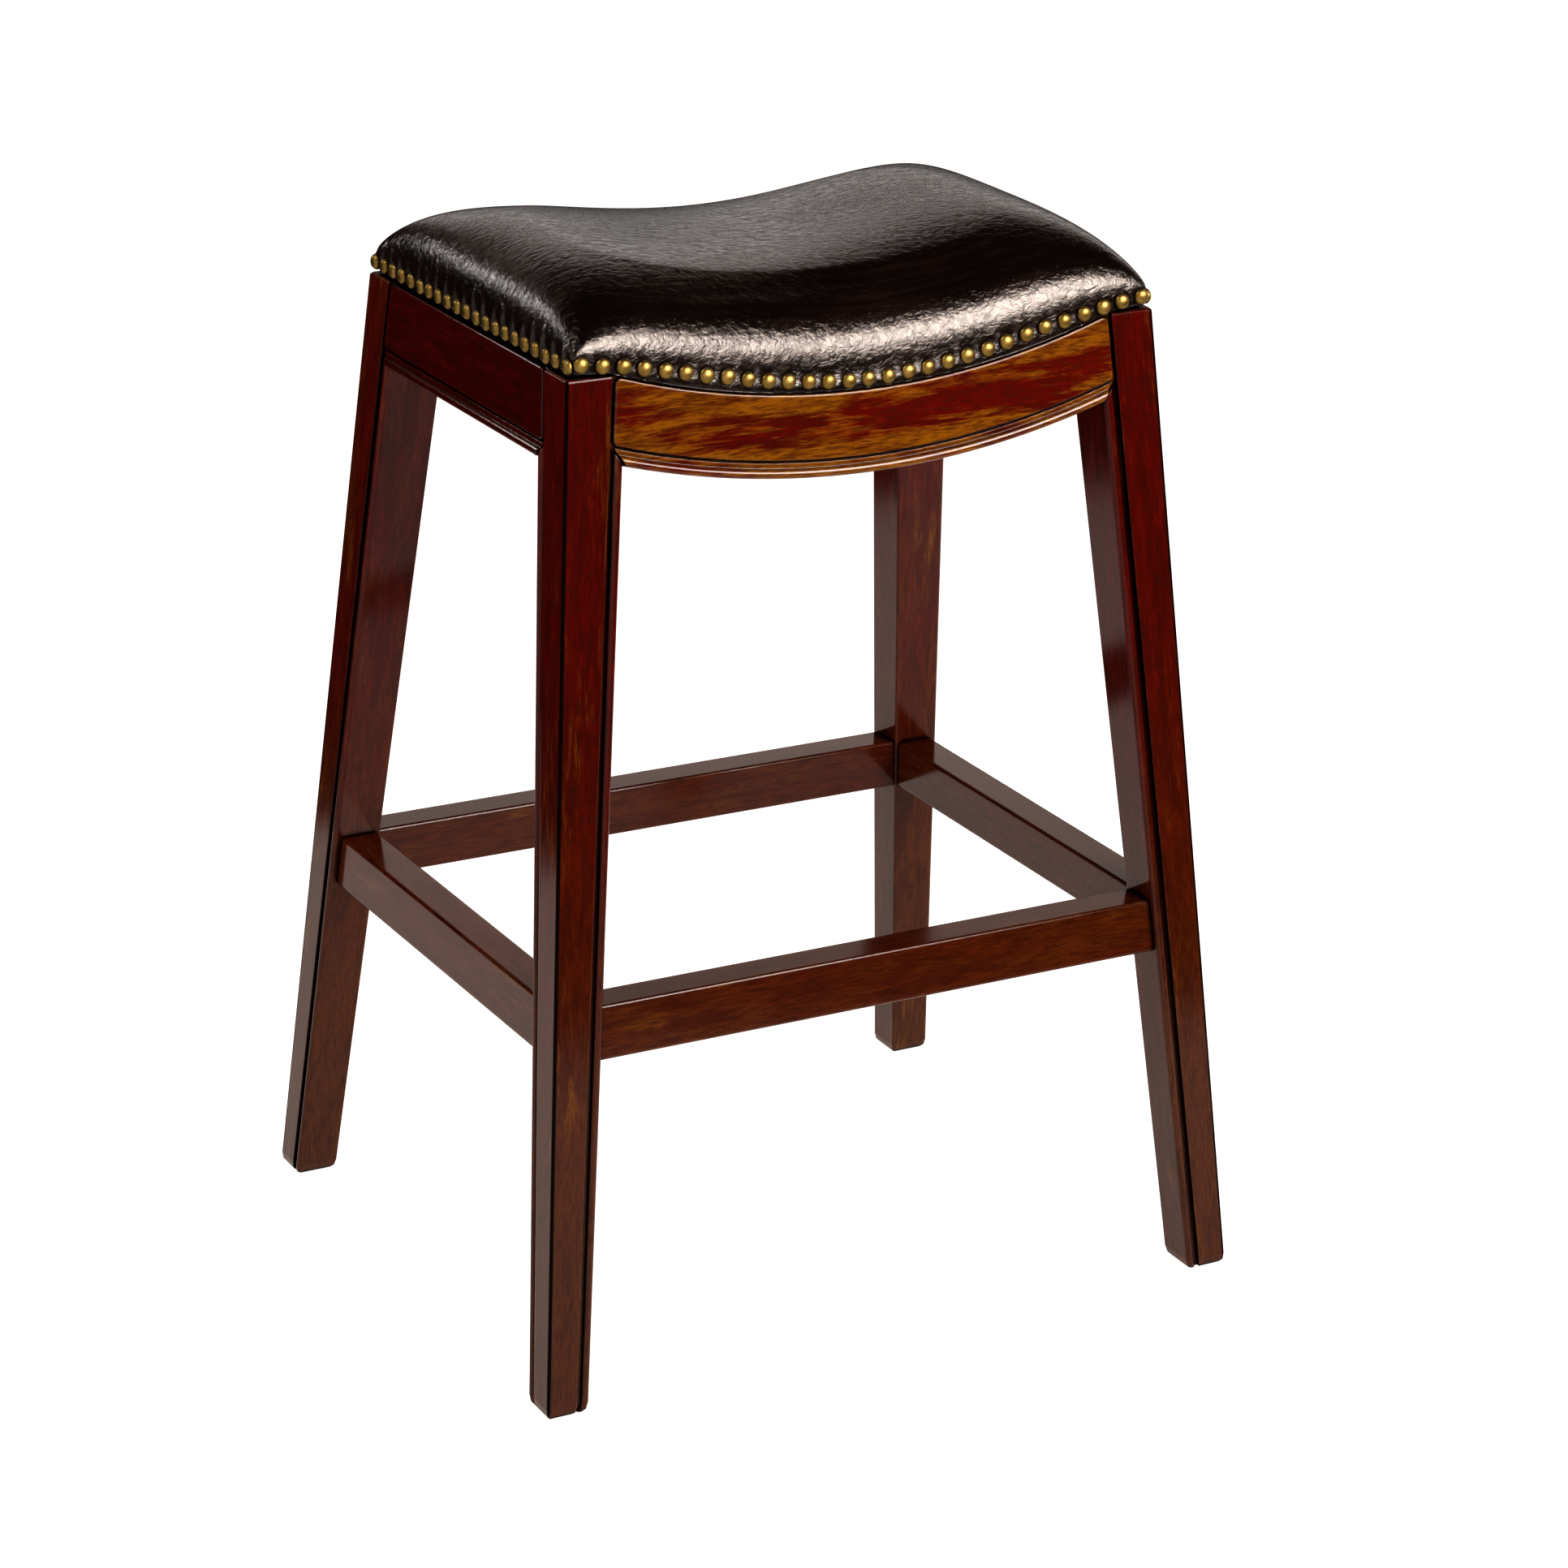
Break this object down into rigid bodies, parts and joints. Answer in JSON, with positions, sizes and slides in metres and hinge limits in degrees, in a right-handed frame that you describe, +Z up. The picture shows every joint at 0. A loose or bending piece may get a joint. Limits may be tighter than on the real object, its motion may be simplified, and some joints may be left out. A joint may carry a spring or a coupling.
{
  "type": "bar stool",
  "caption": "Backless bar stool with a saddle-shaped padded leather seat edged in brass nails, on splayed tapered wooden legs tied by stretchers.",
  "frame": {"origin": "on the floor, midway between the four feet", "axes": "+X to the stool's right along its wide side, the front faces -Y, +Z up"},
  "size_m": [0.5468, 0.4662, 0.7622],
  "materials": {
    "stained_wood": "dark cherry stain with a dark glaze in the grooves, under gloss lacquer",
    "block_wood": "plain planed hardwood",
    "plywood": "bent plywood, sanded",
    "glide_plastic": "dark brown nylon",
    "zinc_steel": "zinc plated",
    "foam": "polyurethane foam with a fibre wrap",
    "dark_leather": "smooth espresso leather, semi-gloss with a fine grain",
    "black_cloth": "non-woven cloth",
    "antique_brass": "antiqued brass domes"
  },
  "bodies": {
    "root": {"leg_front_left": "stained_wood", "leg_front_right": "stained_wood", "leg_back_left": "stained_wood", "leg_back_right": "stained_wood", "apron_front": "stained_wood", "apron_back": "stained_wood", "apron_left": "stained_wood", "apron_right": "stained_wood", "stretcher_front": "stained_wood", "stretcher_back": "stained_wood", "stretcher_left": "stained_wood", "stretcher_right": "stained_wood", "corner_block_front_left": "block_wood", "corner_block_front_right": "block_wood", "corner_block_back_left": "block_wood", "corner_block_back_right": "block_wood", "seat_board": "plywood", "glide_front_left": "glide_plastic", "glide_front_right": "glide_plastic", "glide_back_left": "glide_plastic", "glide_back_right": "glide_plastic", "corner_block_screws": "zinc_steel", "seat_screws": "zinc_steel", "foam_pad": "foam", "leather_cover": "dark_leather", "dust_cover": "black_cloth", "nails_front": "antique_brass", "nails_back": "antique_brass", "nails_left": "antique_brass", "nails_right": "antique_brass"}
  },
  "joints": []
}
